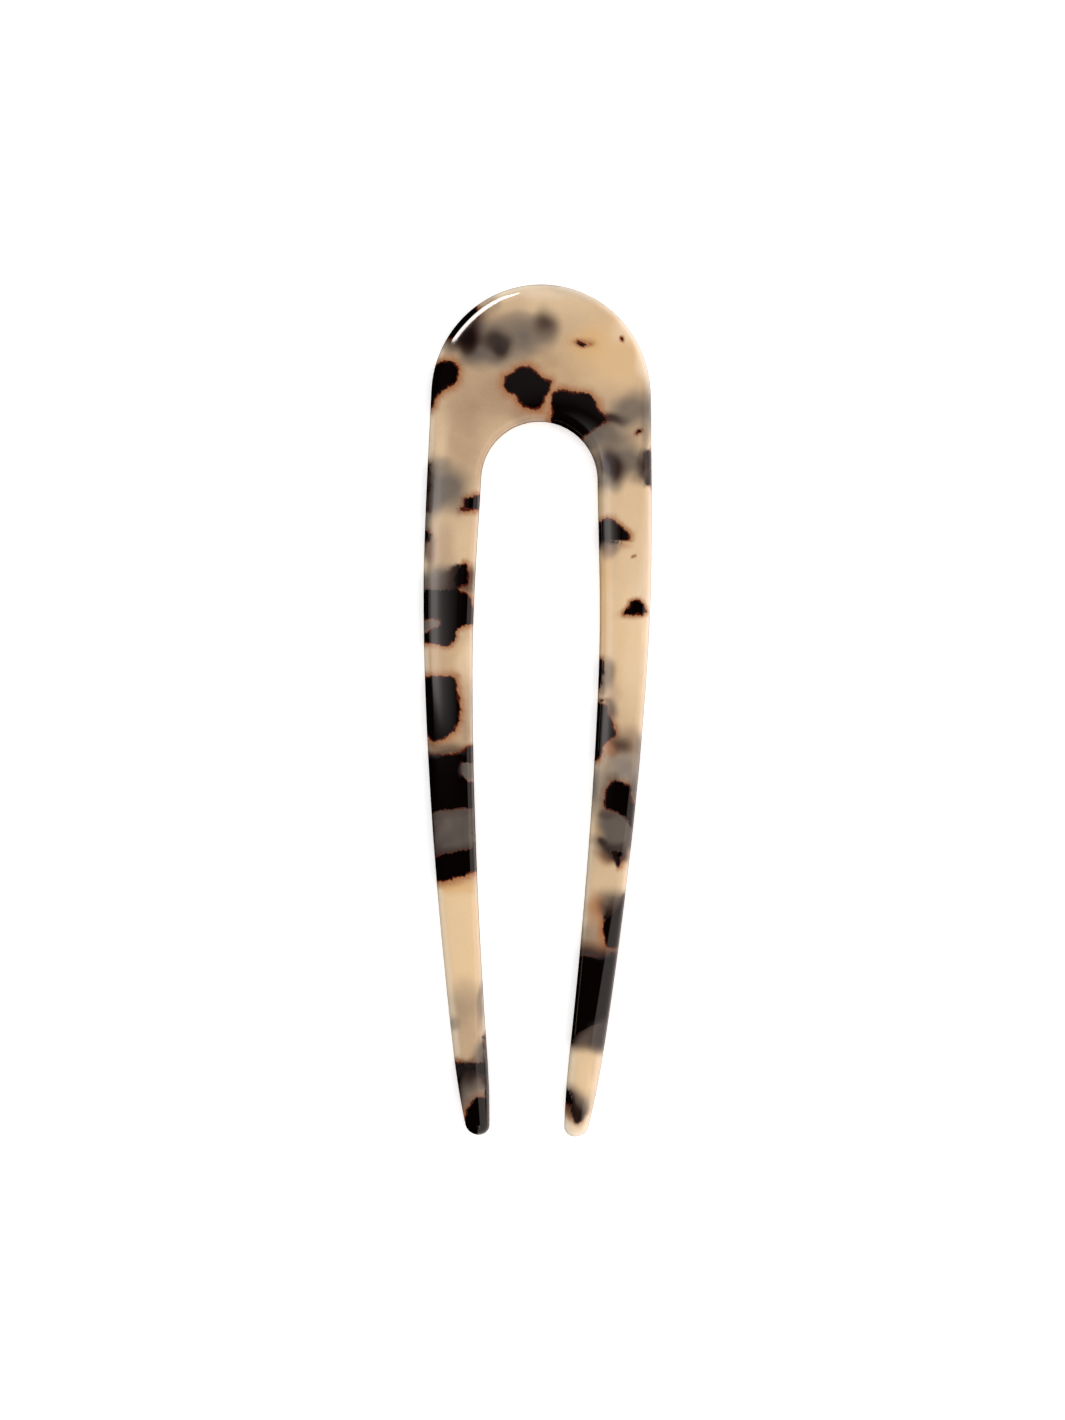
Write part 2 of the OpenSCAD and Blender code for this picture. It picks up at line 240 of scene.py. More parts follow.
# Soft patches by tint: places where the ground is light, dull or warm, and clouds and cores under it.
# The columns are x, down, across, along, strength and, where it isn't the usual one, soft, turn, square
# and height.
PATCHES = {
    Tint.LIGHT: patches(
        (0, 1.6, 9, 2.4, 0.36), (10, 8.5, 5, 4.5, 0.36), (-13, 18.5, 1.4, 4, 0.3), (-9, 33, 1.8, 3.2, 0.32),
        (-8.9, 48, 1.1, 2, 0.3), (12, 36, 3.5, 12, 0.5), (12.4, 47, 2.2, 7.5, 0.5),
        (9.8, 75.3, 3.5, 1.8, 0.25, 0.6, 0, 4), (-9.3, 82.8, 3.5, 6.8, 0.9, 0.3, 0, 4),
        (7.3, 99.5, 3.5, 2.6, 0.8, 0.4, 0, 4), (6.2, 107.2, 2.4, 1.6, 0.75), (-11, 68.6, 1.3, 0.9, 0.5),
    ),
    Tint.DULL: patches(
        (-6, 4, 4.5, 2.4, 0.3), (-8, 13.5, 5, 4.5, 0.42), (-4, 14.5, 4.5, 3, 0.35),
        (-9.8, 20, 2.4, 5, 0.45), (3, 9.5, 3.4, 3.4, 0.28), (9, 14, 3.5, 1.3, 0.25), (0, 9.7, 2, 1.2, 0.4),
        (9.7, 51.6, 1, 1.4, 0.4), (4, 11.8, 3, 1.5, 0.15), (-0.8, 16.5, 3, 1.2, 0.5),
        (12.5, 19.5, 2, 1.6, 0.3), (-8.6, 54, 1.2, 5, 0.15), (-8.9, 57.5, 1.4, 1.6, 0.35),
        (9.2, 35, 1.2, 2.5, 0.25), (7.9, 81.7, 1.5, 2.2, 0.55), (-8.6, 91.4, 2.6, 3, 0.22, 0.6, -30),
        (-7.8, 96.5, 2.6, 2.4, 0.25, 0.6, 0, 3), (14.1, 40, 0.6, 14, 0.4, 0.6, 0, 4),
        (8.9, 99.5, 0.8, 3, 0.45), (8.5, 36, 0.6, 2.6, 0.4), (-12.3, 34, 1.8, 3, 0.42),
        (-12.5, 48, 2, 2.2, 0.4),
    ),
    Tint.HONEY: patches(
        (-11, 48, 4, 1.6, 0.15), (7, 99.5, 3.5, 2.6, 0.12, 0.4, 0, 4), (6, 7.3, 2, 1.7, 0.65, 0.8),
        (10, 8.5, 5, 4.5, 0.45), (12, 37, 3.5, 13, 0.1), (12.3, 43.5, 2.2, 4, 0.25),
        (8.5, 40, 0.7, 8, 0.7, 0.6, 0, 3), (3, 10, 4, 3, 0.15), (8.1, 68.5, 0.9, 1.8, 0.4),
        (-9.3, 82.8, 3.5, 6.8, 0.2, 0.3, 0, 4), (-9.8, 76.5, 3, 0.9, 0.8, 0.7),
        (5.5, 105.3, 1.4, 1.8, 0.45), (9.6, 49.2, 1.2, 1.4, 0.25),
    ),
    Tint.CREAM: patches(
        (10.9, 5.9, 1.8, 1.5, 0.35), (13, 10, 0.9, 3.6, 0.42, 0.6, -18), (11.6, 61.3, 2, 1.9, 0.6),
        (13.9, 36.5, 0.9, 11, 0.2), (0, 0.8, 9, 1.1, 0.33), (12.7, 43, 1.6, 8, 0.14),
        (-8.7, 48, 0.9, 2, 0.2), (6.2, 107.2, 2.4, 1.6, 0.5),
    ),
    Tint.AMBER: patches(
        (9.7, 58.7, 1, 1.3, 0.9, 0.4), (8.35, 78.8, 1.25, 1.6, 0.75, 0.7), (9, 81.2, 0.7, 2.8, 0.7, 0.7),
        (8.6, 83.9, 3, 0.8, 0.5, 0.7, 0, 4), (5.4, 7.55, 1.5, 0.5, 0.55, 0.8), (0.4, 16, 1, 1, 0.3),
        (7.6, 15.3, 0.6, 1, 0.35), (11.1, 32.8, 0.9, 0.6, 0.5), (11.7, 41.95, 1.6, 0.5, 0.4),
        (5.9, 105.2, 0.8, 1.3, 0.7, 0.6, -28), (-10.6, 58, 1.2, 0.7, 0.35), (5, 7.5, 0.8, 0.3, 0.6, 0.6),
        (-8.2, 104.3, 0.8, 1.1, 0.6, 0.7, -30), (9.2, 72.6, 1, 0.9, 0.5, 0.7),
        (-9.8, 76.1, 3, 0.5, 0.3, 0.8, -10),
    ),
    Tint.BROWN: patches(
        (-9.2, 38.85, 1.2, 0.55, 0.85, 0.7), (-8.4, 37.4, 0.6, 1.4, 0.9),
        (-10.9, 59.5, 3, 1, 0.76, 0.7, 0, 4), (9.1, 49.2, 0.9, 1.7, 0.5), (-7.5, 98.6, 1.3, 0.5, 0.5),
        (12.6, 24.5, 0.7, 0.8, 0.35), (-13.3, 43.6, 1.6, 1, 0.6), (-8.6, 60.2, 1.4, 1, 0.6),
        (10.9, 58.3, 1.2, 0.9, 0.8, 0.9, 20), (11.5, 57.5, 1.7, 1.3, 0.5, 0.95), (9.8, 53.9, 0.8, 1.2, 0.7),
        (8.4, 51.5, 0.5, 0.9, 0.5), (9.1, 33.2, 1.3, 1.1, 0.6), (9.4, 72, 1.25, 1.2, 0.85, 0.7, 20),
        (8.2, 84.7, 3.6, 1.2, 0.9, 0.8, 0, 4), (7, 95.2, 3, 1.6, 0.85, 0.7, 0, 4),
        (-7.9, 100.6, 2.2, 1.3, 0.7, 0.6, 0, 3), (5.9, 103.6, 1.2, 2, 0.75, 0.6, -25),
        (-13.9, 33.4, 0.75, 2.7, 0.65),
    ),
    Tint.CLOUD: patches(
        (-4.6, 6.9, 3.6, 2.3, 0.72, 0.6, 0, 2, 1.6), (-0.9, 6.6, 2.3, 2, 0.66, 0.6, -10),
        (-2.4, 4.6, 2, 0.9, 0.35), (-6.9, 9.1, 1.8, 1.2, 0.75), (-8.9, 7.9, 1.6, 2, 0.85),
        (-8.45, 6, 1.8, 1.7, 0.92), (-11.3, 7.9, 1.3, 1.1, 0.56), (-6.7, 3, 1.6, 1, 0.35, 0.6, -35),
        (11.3, 15.9, 2.6, 1.8, 0.75, 0.6, -20, 2, 1.6), (8.3, 18.9, 3, 1.7, 0.82, 0.6, 20, 2, 1.6),
        (13.5, 16.5, 0.8, 4, 0.5), (10.8, 22.35, 3.6, 1.8, 0.88, 0.6, 5), (7.9, 24.7, 0.9, 1.7, 0.56),
        (-11.5, 26.2, 2.4, 2.6, 0.85, 0.6, 0, 2, 1.6), (-13.3, 26.5, 1, 3.4, 0.85),
        (-14.1, 30.3, 0.5, 1.6, 0.6), (-12.8, 38, 1.8, 1.8, 0.7), (-13.3, 43.5, 1.8, 1, 0.72),
        (6.5, 19.6, 1.3, 1.3, 0.7), (9, 24.7, 1.3, 1.2, 0.55), (7.4, 22.2, 0.9, 1.6, 0.5),
        (-8.4, 54.5, 0.7, 3.6, 0.24), (-8.3, 62, 1.4, 1.6, 0.97, 0.4),
        (-10, 69.4, 4.2, 3.1, 0.87, 0.25, 0, 5), (-8.2, 69.4, 2, 2.9, 0.85, 0.6, 0, 4),
        (-10.6, 71.2, 3.6, 1.3, 0.85, 0.6, 0, 4), (-8, 91, 1.4, 2.7, 0.22), (-6.1, 91.4, 0.5, 2.6, 0.5),
        (-5.9, 97.7, 0.9, 2.1, 0.78), (-9.4, 94, 0.9, 1, 0.4), (-8.3, 102.6, 2, 2, 0.6),
        (8.9, 49.3, 0.9, 1.9, 0.46), (13.1, 58.3, 0.7, 1.3, 0.5), (-8.7, 9.5, 1.6, 1, 0.5),
        (-5, 10, 1.6, 1.1, 0.45), (-2.3, 8.9, 1.8, 1, 0.45), (-7.7, 10.2, 1.9, 0.9, 0.35),
        (-12.6, 23.2, 1.3, 0.9, 0.4), (9.8, 25.5, 1, 0.9, 0.35), (3.4, 0.8, 4, 0.7, 0.2, 0.95, 15),
        (9.75, 53.9, 0.8, 1.3, 0.35, 0.6, -15), (11.5, 61.2, 2.4, 2.1, 0.68, 0.6, 0, 3, 1.6),
        (13, 64.9, 0.8, 2.6, 0.85), (8.3, 64, 1.1, 3, 0.62, 0.6, 0, 3),
        (10.95, 69, 2.3, 2.9, 0.9, 0.35, 0, 4, 2), (7.4, 82.6, 1.2, 1.6, 0.35),
        (6.9, 104.3, 0.8, 1.2, 0.45),
    ),
    Tint.CORE: patches(
        (-9.9, 7, 1.9, 1.75, 1, 0.6, 10), (-8.9, 5.2, 1.7, 1.2, 0.6, 0.9, -40), (-9.2, 8.5, 1.1, 1.1, 0.5),
        (-5.4, 7.85, 1.35, 1.35, 0.84, 0.9, -30), (-7.4, 7.2, 2.2, 0.9, 0.35, 0.95, 10),
        (0.45, 5, 1.2, 1.6, 0.62, 0.95, -20), (9, 17, 1.6, 0.55, 0.78, 0.7),
        (9.3, 22.8, 2.2, 1.1, 0.74, 0.75, 57), (8.4, 23, 0.7, 1.1, 0.75), (9.1, 24.3, 0.8, 0.8, 0.35),
        (12.9, 22.9, 0.8, 1.6, 0.4), (-14, 26, 0.5, 3.2, 0.5), (8.1, 33.2, 0.6, 1.2, 0.25),
        (10.9, 58.2, 0.9, 0.9, 0.35, 0.95), (8, 84.9, 3.4, 0.7, 0.5, 0.8, 0, 4),
        (-10.2, 67.2, 4.2, 0.6, 0.35, 0.6, -5, 4), (-10.2, 72.1, 4.2, 0.7, 0.62, 0.6, -10, 4),
        (8.75, 70.4, 0.4, 0.4, 0.6), (9.5, 67.05, 1, 0.5, 0.45), (9.9, 62.3, 0.9, 0.6, 0.25),
        (10.1, 71.35, 2, 0.8, 0.8, 0.8, 27), (11.75, 71.3, 0.7, 0.6, 0.5), (10.75, 71.95, 1, 1, 0.98),
        (9.8, 78.6, 1.3, 1.8, 0.4),
    ),
    Tint.DUSK: patches(
        (-8, 99.8, 1.6, 1.2, 0.22), (9.2, 95, 1.4, 1.8, 0.85, 0.55), (-9, 61.7, 0.3, 0.7, 0.6, 0.9),
        (7.9, 84.75, 2.4, 0.28, 0.6, 0.8, 0, 3), (-11.6, 59.6, 2.4, 0.22, 0.45, 0.9, 0, 3),
    ),
}


def rounded(corners: Array, cut: float, passes: int = 2) -> Array:
    """Cuts each corner of a closed outline twice over, so that it turns smoothly.

    Each corner gives way to two points, on its two sides, a short way from it or a third of the side.

    Args:
        corners: The outline's corners in order, one row each.
        cut: How far from a corner its first cut starts, in millimetres.
        passes: How many times the corners are cut, each time half as deep.

    Returns:
        The corners of the smoother outline.
    """
    for step in range(passes):
        side = np.roll(corners, -1, axis=0) - corners
        length = np.maximum(np.hypot(side[:, 0], side[:, 1]), 1e-6)
        share = np.minimum(cut / 2 ** step / length, 0.33)[:, None]
        corners = np.stack([corners + side * share, corners + side * (1 - share)], axis=1).reshape(-1, 2)
    return corners


def outline_distance(points: Array, corners: Array) -> Array:
    """Signed distance from points to a closed outline, negative inside it.

    The distance is the least one to any side, and a point is inside where a line from it to the right
    crosses the sides an odd number of times.

    Args:
        points: The points, one row each.
        corners: The outline's corners in order, one row each.

    Returns:
        One distance for each point.
    """
    side = np.roll(corners, -1, axis=0) - corners
    away = points[:, None, :] - corners[None, :, :]
    share = np.clip((away * side).sum(axis=2) / (side ** 2).sum(axis=1), 0, 1)
    miss = away - share[:, :, None] * side
    reach = np.hypot(miss[:, :, 0], miss[:, :, 1]).min(axis=1)
    ends = np.roll(corners, -1, axis=0)
    spans = (corners[:, 1] > points[:, None, 1]) != (ends[:, 1] > points[:, None, 1])
    rise = np.where(np.abs(side[:, 1]) < 1e-9, 1e-9, side[:, 1])
    meets = corners[:, 0] + (points[:, None, 1] - corners[:, 1]) / rise * side[:, 0]
    inside = (spans & (meets > points[:, None, 0])).sum(axis=1) % 2 == 1
    return np.where(inside, -reach, reach)


def add(name: str, data: bpy.types.ID) -> bpy.types.Object:
    """Makes an object of that data, and links it to the scene."""
    made = bpy.data.objects.new(name, data)
    bpy.context.scene.collection.objects.link(made)
    return made


def mesh_of(name: str, points: Array, cells: list[list[int]]) -> bpy.types.Mesh:
    """A mesh of points, which end in an axis of (x, y, z), and of cells that list their numbers."""
    mesh = bpy.data.meshes.new(name)
    mesh.from_pydata(points.reshape(-1, 3).tolist(), [], cells)
    return mesh


def material_of(name: str) -> bpy.types.Material:
    """A new material made of nodes."""
    made = bpy.data.materials.new(name)
    made.use_nodes = True
    return made


def ring_cells(rows: int, columns: int) -> list[list[int]]:
    """The cells of a grid whose rows close on themselves, as four point numbers each.

    Args:
        rows: How many rows of points the grid has.
        columns: How many points a row has.

    Returns:
        A list of four for each cell.
    """
    index = np.arange(rows * columns).reshape(rows, columns)
    ahead = np.roll(index, -1, axis=1)
    return np.stack([index[:-1], index[1:], ahead[1:], ahead[:-1]], axis=2).reshape(-1, 4).tolist()


def smooth(low: float, high: float, value: Array) -> Array:
    """Smooth rise from 0 at low to 1 at high, level at both ends; it falls if high is the lesser."""
    k = np.clip((value - low) / (high - low), 0, 1)
    return k * k * (3 - 2 * k)


@dataclass(frozen=True)
class Ripple:
    """A smooth random wander, made of a few plane waves of random headings and phases.

    spread is the range of how many waves there are to a length.
    """

    length: float
    height: float
    seed: int
    waves: int = 7
    spread: tuple[float, float] = (0.6, 1.7)

    def at(self, points: Array) -> Array:
        """The wander at each point: the sum of the waves' sines, scaled to the height.

        Args:
            points: The points, one row each, in millimetres.

        Returns:
            One value for each point.
        """
        draw = np.random.default_rng(self.seed)
        heading = draw.uniform(0, math.tau, self.waves)
        wave = math.tau / self.length * draw.uniform(*self.spread, self.waves)
        phase = draw.uniform(0, math.tau, self.waves)
        along = points @ np.stack([np.cos(heading), np.sin(heading)])
        return self.height * np.sin(along * wave + phase).sum(axis=1) / math.sqrt(self.waves / 2)


@dataclass(frozen=True)
class Wear:
    """How the polishing wheel has worn the face by an edge: by dish at the edge, dying out over run."""

    dish: float
    run: float


@dataclass(frozen=True)
class PinForm:
    """The pin's sizes in millimetres, and the surface that follows from them.

    The rounded edges are called outer and gap. Each is so wide round the crown, and grows to tip_edge
    at the tips from its grow on down. bend and point_bend are how late the taper and the points set
    in, and edge_crowding is how much an edge's steps crowd towards the faces.
    """

    length: float
    width: float
    thick: float
    crown_depth: float = 17.4
    crown_inset: float = 0.75
    shoulder: float = 37.0
    prong: float = 6.4
    arch_inset: float = 0.8
    belly: float = 45.0
    bend: float = 1.65
    tips_width: float = 16.0
    tip_width: float = 3.75
    point_length: float = 10.0
    point_inset: float = 0.5
    tip_round: float = 1.4
    outer_edge: float = 1.35
    outer_edge_grow: float = 70.0
    gap_edge: float = 1.05
    gap_edge_grow: float = 85.0
    tip_edge: float = 2.45
    outer_wear: tuple[Wear, Wear] = (Wear(dish=0.135, run=1.85), Wear(dish=0.06, run=0.75))
    gap_wear: tuple[Wear, Wear] = (Wear(dish=0.19, run=1.9), Wear(dish=0.06, run=0.75))
    tip_wear: Wear = Wear(dish=0.10, run=1.2)
    tip_wear_start: float = 85.0
    edge_share: float = 0.47
    edge_power: float = 2.5
    edge_crowding: float = 0.4
    point_bend: float = 2.0
    crown_steps: int = 96
    side_steps: int = 390
    tip_steps: int = 16
    edge_steps: int = 16
    front_steps: int = 44
    back_steps: int = 20
    weld: float = 1e-7

    def late(self, down: Array, start: float, bend: float) -> Array:
        """Share of the way from a start to the ends, raised to a power so that it sets in late."""
        return (np.maximum(0, down - start) / (self.length - start)) ** bend

    def outer_taper(self, down: Array) -> Array:
        """How far the outer edge has come in towards the centre line."""
        return (self.width - self.tips_width) / 2 * self.late(down, self.shoulder, self.bend)

    def inner_taper(self, down: Array) -> Array:
        """How far the inner edge has come in towards the centre line."""
        gap = self.width / 2 - self.prong
        return (gap - self.tips_width / 2 + self.tip_width) * self.late(down, self.belly, self.bend)

    def draw_in(self, down: Array) -> Array:
        """How far each edge has drawn in along the point."""
        return self.point_inset * self.late(down, self.length - self.point_length, self.point_bend)

    def outer_reach(self, down: Array, reach: Array) -> Array:
        """Reach of the outer edge: the crown's round, its swell to the shoulder, then the taper."""
        swell = self.crown_inset * smooth(0, self.shoulder, down)
        return reach + swell - self.outer_taper(down) - self.draw_in(down)

    def inner_reach(self, down: Array, reach: Array) -> Array:
        """Reach of the inner edge: the arch's round, its swell to the belly, then the taper."""
        swell = self.arch_inset * smooth(self.crown_depth, self.belly, down)
        return reach + swell - self.inner_taper(down) + self.draw_in(down)

    def half_paths(self) -> tuple[Array, Array]:
        """The outer and the inner edge of the right half, from the centre line to the prong's end.

        A quarter circle for the crown and one for the arch, then straight down in even steps with the
        swell and the taper added to the reach, and last half an oval for the end, which both share.

        Returns:
            Two arrays of rows (x, down), of one length, that end at the same point.
        """
        crown = self.width / 2 - self.crown_inset
        arch = self.width / 2 - self.prong - self.arch_inset
        end = self.length - self.tip_round
        turn = np.linspace(0, np.pi / 2, self.crown_steps + 1)
        share = np.linspace(0, 1, self.side_steps + 1)[1:]
        before = np.array([end - self.tip_round])
        paths, leans = [], []
        for top, radius, reach_at in (
            (0.0, crown, self.outer_reach),
            (self.crown_depth, arch, self.inner_reach),
        ):
            spring = top + radius
            down = np.concatenate([spring - radius * np.cos(turn), spring + (end - spring) * share])
            reach = np.concatenate([radius * np.sin(turn), np.full(self.side_steps, radius)])
            paths.append(np.stack([reach_at(down, reach), down], axis=1))
            leans.append(reach_at(before, radius)[0] - paths[-1][-1, 0])
        middle = (paths[0][-1, 0] + paths[1][-1, 0]) / 2
        half = (paths[0][-1, 0] - paths[1][-1, 0]) / 2
        tip = np.linspace(0, np.pi / 2, self.tip_steps + 1)[1:]
        lean = sum(leans) / 2 * np.sin(tip)
        fall = end + self.tip_round * np.sin(tip)
        outer_tip, inner_tip = (
            np.stack([middle + side * half * np.cos(tip) - lean, fall], axis=1) for side in (1, -1)
        )
        return np.concatenate([paths[0], outer_tip]), np.concatenate([paths[1], inner_tip])

    def edge_at(self, down: Array, width: float, grow: float) -> Array:
        """An edge's width at each place: it grows evenly to the tip's, as far as the prong leaves room.

        Args:
            down: How far below the top of the crown each place is.
            width: The edge's width round the crown.
            grow: How far down the width starts to grow.

        Returns:
            One width for each place.
        """
        wanted = width + (self.tip_edge - width) * self.late(down, grow, 1)
        prong = self.prong - self.outer_taper(down) + self.inner_taper(down) - 2 * self.draw_in(down)
        return np.minimum(wanted, self.edge_share * prong)

    def wear_at(self, down: Array, facing: Array, sides: tuple[Wear, Wear]) -> Wear:
        """The wear by an edge at each place: a mix of its two sides' wear, and the tips' at the end.

        Args:
            down: How far below the top of the crown each place is.
            facing: How far right the edge faces there, from -1 to 1.
            sides: Its wear where it faces left, and where it faces right.

        Returns:
            The wear, with one dish and one run for each place.
        """
        right = (facing + 1) / 2
        end = smooth(self.tip_wear_start, self.length - self.tip_round, down)
        dish = sides[0].dish + (sides[1].dish - sides[0].dish) * right
        run = sides[0].run + (sides[1].run - sides[0].run) * right
        return Wear(dish + (self.tip_wear.dish - dish) * end, run + (self.tip_wear.run - run) * end)

    def whole_path(self, half: Array, side: float) -> tuple[Array, Array]:
        """One edge from the left tip over the middle to the right tip, and the directions out of it.

        The left half mirrors the right one. The direction is square to the line between neighbours.

        Args:
            half: The right half's points from the centre line, rows of (x, down).
            side: 1 for the outer edge and -1 for the inner one.

        Returns:
            Rows of (x, y) with y up the pin from its middle, and rows of outward directions.
        """
        up = np.stack([half[:, 0], self.length / 2 - half[:, 1]], axis=1)
        path = np.concatenate([up[:0:-1] * (-1, 1), up])
        along = np.gradient(path, axis=0, edge_order=2)
        out = side * np.stack([-along[:, 1], along[:, 0]], axis=1)
        return path, out / np.hypot(out[:, 0], out[:, 1])[:, None]

    def grid(self) -> Array:
        """The whole surface as a grid: stations along the pin by points round the section.

        At a station, the rounded edge is a squared oval, (inset part) ** power + (height part) ** power
        = 1, cut short where its slope meets the face's. The face sinks by the dish towards the edge, as
        exp(-distance / run), because the polishing wheel wears it there. The section runs up the
        outer edge, across the front, down the inner edge and back across the back.

        Returns:
            An array of stations by section points by (x, y, z), in millimetres.
        """
        outer, inner = self.half_paths()
        outer, out_o = self.whole_path(outer, 1.0)
        inner, out_i = self.whole_path(inner, -1.0)
        for row in (0, -1):
            shared = out_o[row] + out_i[row]
            out_o[row] = out_i[row] = shared / np.hypot(*shared)
        bend = 2 / self.edge_power
        rounds, wear = [], []
        for path, out, width, grow, sides in (
            (outer, out_o, self.outer_edge, self.outer_edge_grow, self.outer_wear),
            (inner, out_i, self.gap_edge, self.gap_edge_grow, self.gap_wear),
        ):
            down = np.minimum(self.length / 2 - path[:, 1], self.length - self.tip_round)[:, None]
            width = self.edge_at(down, width, grow)
            worn = self.wear_at(down, out[:, :1], sides)
            rise = self.thick / 2 - worn.dish
            level = (worn.dish / worn.run * width / rise) ** (1 / (self.edge_power - 1))
            last = np.arccos(level ** (1 / bend))
            even = np.linspace(-1, 1, self.edge_steps + 1)
            turn = last * even * (1 + self.edge_crowding - self.edge_crowding * even ** 2)
            inset = width * (1 - np.cos(turn) ** bend)
            flat = path[:, None, :] - out[:, None, :] * inset[:, :, None]
            up = np.sign(turn) * (np.abs(np.sin(turn)) / np.sin(last)) ** bend
            height = self.thick / 2 + rise * up
            rounds.append(np.concatenate([flat, height[:, :, None]], axis=2))
            wear.append(worn)
        front = self.face(rounds[0][:, -1], rounds[1][:, -1], wear[0], wear[1], self.front_steps, 1.0)
        back = self.face(rounds[1][:, 0], rounds[0][:, 0], wear[1], wear[0], self.back_steps, -1.0)
        return np.concatenate([rounds[0], front, rounds[1][:, ::-1], back], axis=1)

    def face(
        self, start: Array, end: Array, start_wear: Wear, end_wear: Wear, steps: int, side: float
    ) -> Array:
        """A face between two rims: straight across, closer points near the rims, sunk by their wear.

        The wear is dish times exp(-distance / run) from each rim, and is gone at the other rim.

        Args:
            start: The rim that it leaves, one row (x, y, z) for each station.
            end: The rim that it reaches, likewise.
            start_wear: The wear at the first rim, one dish and one run for each station.
            end_wear: The wear at the other rim, likewise.
            steps: How many steps it takes across.
            side: 1 for the front and -1 for the back.

        Returns:
            The points between the rims, without the rims' own.
        """
        even = np.linspace(0, 1, steps + 1)[1:-1]
        share = 0.5 * even + 0.25 * (1 - np.cos(np.pi * even))
        points = start[:, None, :] + (end - start)[:, None, :] * share[None, :, None]
        across = np.hypot(*(end - start)[:, :2].T)[:, None]
        back = 1 - share
        near = start_wear.dish * np.exp(-across * share / start_wear.run) * (1 - share ** 2)
        far = end_wear.dish * np.exp(-across * back / end_wear.run) * (1 - back ** 2)
        points[:, :, 2] = self.thick / 2 + side * (self.thick / 2 - near - far)
        return points

    def mesh(self, name: str) -> bpy.types.Mesh:
        """The surface as a closed mesh in metres.

        Each cell of the grid is a face, and the section closes on itself. At the two ends of the grid
        the section is flat, and its two sides are merged.

        Args:
            name: The mesh's name.

        Returns:
            The new mesh, with its faces outwards and smooth.
        """
        grid = self.grid() * MM
        mesh = mesh_of(name, grid, ring_cells(*grid.shape[:2]))
        shell = bmesh.new()
        shell.from_mesh(mesh)
        bmesh.ops.remove_doubles(shell, verts=shell.verts, dist=self.weld)
        bmesh.ops.recalc_face_normals(shell, faces=shell.faces)
        if shell.calc_volume(signed=True) < 0:
            bmesh.ops.reverse_faces(shell, faces=shell.faces)
        shell.to_mesh(mesh)
        shell.free()
        mesh.shade_smooth()
        return mesh


